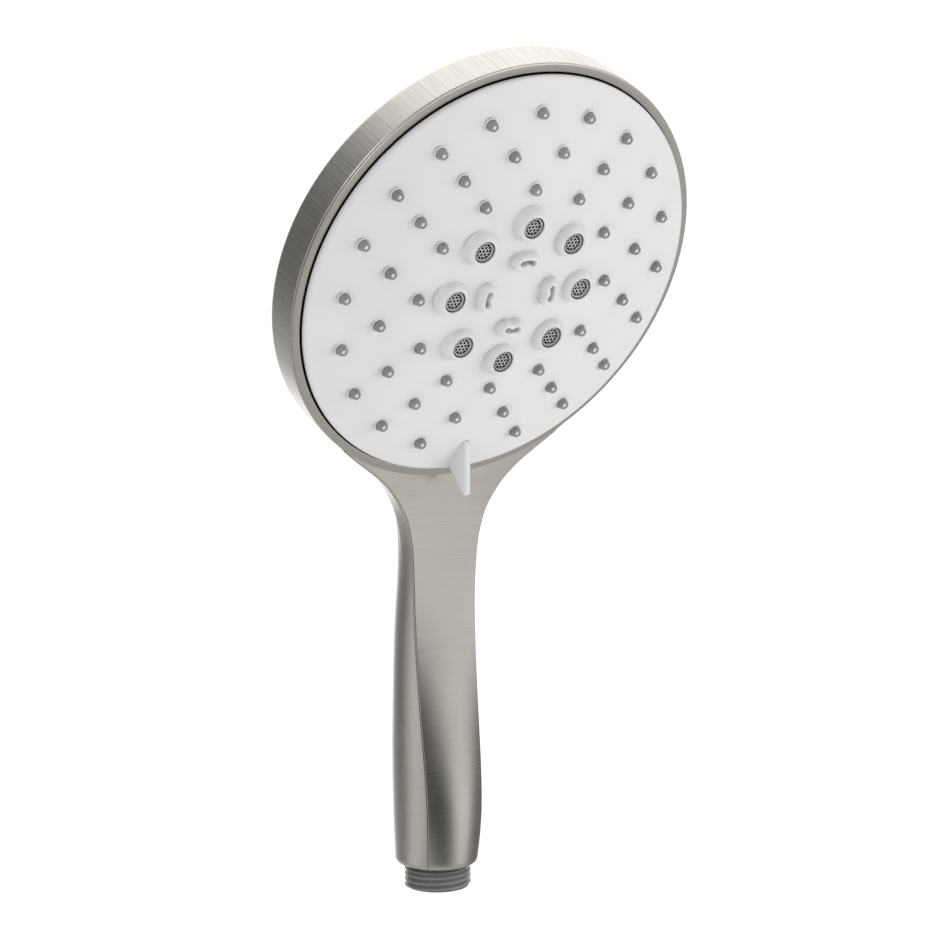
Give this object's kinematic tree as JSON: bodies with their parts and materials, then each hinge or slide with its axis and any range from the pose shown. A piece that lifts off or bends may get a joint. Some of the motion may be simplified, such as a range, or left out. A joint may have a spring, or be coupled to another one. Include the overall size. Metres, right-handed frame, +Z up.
{
  "type": "handheld shower head",
  "caption": "Handheld shower head with a round tilted spray face that turns between three sprays, and a straight handle ending in a hose thread.",
  "frame": {"origin": "centre of the hose thread's end face", "axes": "+Z up along the hose thread and the handle, +X to the right when the spray face is seen from the front, -Y towards the spray side; the spray face looks forward and 22 degrees down"},
  "size_m": [0.14, 0.0766, 0.2664],
  "materials": {
    "shell": "brushed nickel plating on ABS, fine brush lines",
    "face": "white moulded plastic, satin",
    "silicone": "grey translucent silicone",
    "aerator": "dark grey moulded plastic",
    "grid": "grey moulded plastic",
    "inlet": "dark grey moulded plastic, satin",
    "inner_plastic": "natural acetal, satin",
    "regulator": "green moulded plastic",
    "valve": "orange moulded plastic",
    "seal": "black EPDM",
    "steel": "stainless steel"
  },
  "bodies": {
    "handle": {"head_shell": "shell", "handle_shell": "shell", "inlet_bulkhead": "inner_plastic", "front_shell": "shell", "hose_inlet": "inlet", "inlet_clip": "steel", "inlet_filter": "inner_plastic", "flow_regulator": "regulator", "regulator_o_ring": "seal", "check_valve_body": "inner_plastic", "check_valve_o_ring": "seal", "check_valve_spring": "steel", "inlet_o_rings": "seal", "water_tube": "inner_plastic", "tube_o_ring": "seal", "manifold": "inner_plastic", "manifold_cover": "inner_plastic", "manifold_screws": "steel", "port_seal": "seal", "port_seal_spring": "steel", "detent_spring": "steel"},
    "spray_face": {"face_plate": "face", "nozzle_mat": "silicone", "aerator_sleeves": "aerator", "aerator_grids": "grid", "spray_chamber": "inner_plastic", "turbine_cover": "inner_plastic", "turbine_axle": "steel", "pivot_o_ring": "seal", "pivot_washer": "steel", "pivot_screw": "steel"},
    "turbine": {"turbine": "valve"},
    "check_poppet": {"check_valve_poppet": "valve"}
  },
  "joints": [
    {"name": "face_turn", "type": "hinge", "parent": "handle", "child": "spray_face", "pos_m": [0, -0.0345, 0.1975], "axis": [0, -0.9272, -0.3746], "range_deg": [-30, 30], "deforming": ["detent_spring"]},
    {"name": "turbine_spin", "type": "hinge", "parent": "spray_face", "child": "turbine", "pos_m": [0, -0.0345, 0.1975], "axis": [0, -0.9272, -0.3746], "continuous": true},
    {"name": "check_poppet_slide", "type": "slide", "parent": "handle", "child": "check_poppet", "axis": [0, 0, 1], "range_m": [0, 0.003], "stiffness_N_per_m": 120, "springref_m": -0.0015, "deforming": ["check_valve_spring"]}
  ]
}
